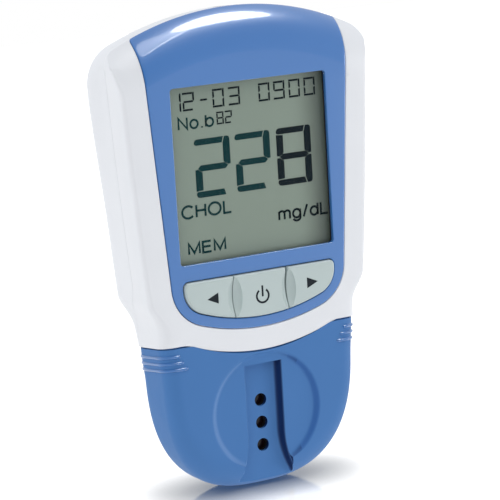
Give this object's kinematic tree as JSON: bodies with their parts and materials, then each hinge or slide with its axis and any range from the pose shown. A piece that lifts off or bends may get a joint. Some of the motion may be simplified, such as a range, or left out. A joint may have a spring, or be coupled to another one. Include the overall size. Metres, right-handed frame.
{
  "type": "lipid meter",
  "caption": "Handheld lipid meter with a square LCD, sprung buttons, a blue faceplate and a slide-off sensor cap with a test-device channel, dish and light holes.",
  "frame": {"origin": "middle of the meter's outline on the plane its back lies on", "axes": "+Y to the top end, +Z out of the face, +X to the right as the display is read"},
  "size_m": [0.082, 0.1396, 0.026],
  "materials": {
    "white_shell": "satin gloss",
    "blue_face": "high gloss",
    "blue_cap": "satin",
    "clear_lens": "clear",
    "black_foam": "matt",
    "lcd_glass": "matt polariser",
    "white_plastic": "matt",
    "black_rubber": "matt",
    "circuit_board": "solder mask",
    "black_plastic": "matt",
    "steel": "bright",
    "key_grey": "satin",
    "silicone": "matt",
    "dark_window": "polished",
    "clear_resin": "clear",
    "cable_film": "satin film",
    "chip_blue": "satin",
    "cell_sleeve": "metallic sleeve"
  },
  "bodies": {
    "meter": {"front_housing": "white_shell", "rear_housing": "white_shell", "faceplate": "blue_face", "display_lens": "clear_lens", "display_gasket": "black_foam", "lcd_panel": "lcd_glass", "lcd_holder": "white_plastic", "connector_strips": "black_rubber", "main_board": "circuit_board", "microcontroller": "black_plastic", "board_parts": "black_plastic", "buzzer": "black_plastic", "usb_socket": "steel", "left_dome": "silicone", "power_dome": "silicone", "right_dome": "silicone", "optical_block": "black_plastic", "optical_windows": "dark_window", "optical_emitters": "clear_resin", "optical_board": "circuit_board", "flat_cable": "cable_film", "code_chip_socket": "black_plastic", "battery_1": "cell_sleeve", "battery_2": "cell_sleeve", "battery_3": "cell_sleeve", "battery_4": "cell_sleeve", "upper_contacts": "steel", "lower_contacts": "steel", "housing_screws": "steel", "board_screws": "steel", "optical_screws": "steel"},
    "left_button": {"left_button": "key_grey"},
    "power_button": {"power_button": "key_grey"},
    "right_button": {"right_button": "key_grey"},
    "sensor_cap": {"sensor_cap": "blue_cap"},
    "battery_door": {"battery_door": "white_shell"},
    "code_chip": {"code_chip": "chip_blue"}
  },
  "joints": [
    {"name": "left_press", "type": "slide", "parent": "meter", "child": "left_button", "axis": [0, 0, -1], "range_m": [0, 0.0007], "stiffness_N_per_m": 2500, "deforming": ["left_dome"]},
    {"name": "power_press", "type": "slide", "parent": "meter", "child": "power_button", "axis": [0, 0, -1], "range_m": [0, 0.0007], "stiffness_N_per_m": 2500, "deforming": ["power_dome"]},
    {"name": "right_press", "type": "slide", "parent": "meter", "child": "right_button", "axis": [0, 0, -1], "range_m": [0, 0.0007], "stiffness_N_per_m": 2500, "deforming": ["right_dome"]},
    {"name": "cap_slide", "type": "slide", "parent": "meter", "child": "sensor_cap", "axis": [0, -1, 0], "range_m": [0, 0.046]},
    {"name": "battery_door_swing", "type": "hinge", "parent": "meter", "child": "battery_door", "pos_m": [0, 0.04885, 0], "axis": [1, 0, 0], "range_deg": [0, 90]},
    {"name": "code_chip_slide", "type": "slide", "parent": "meter", "child": "code_chip", "axis": [1, 0, 0], "range_m": [0, 0.013]}
  ]
}
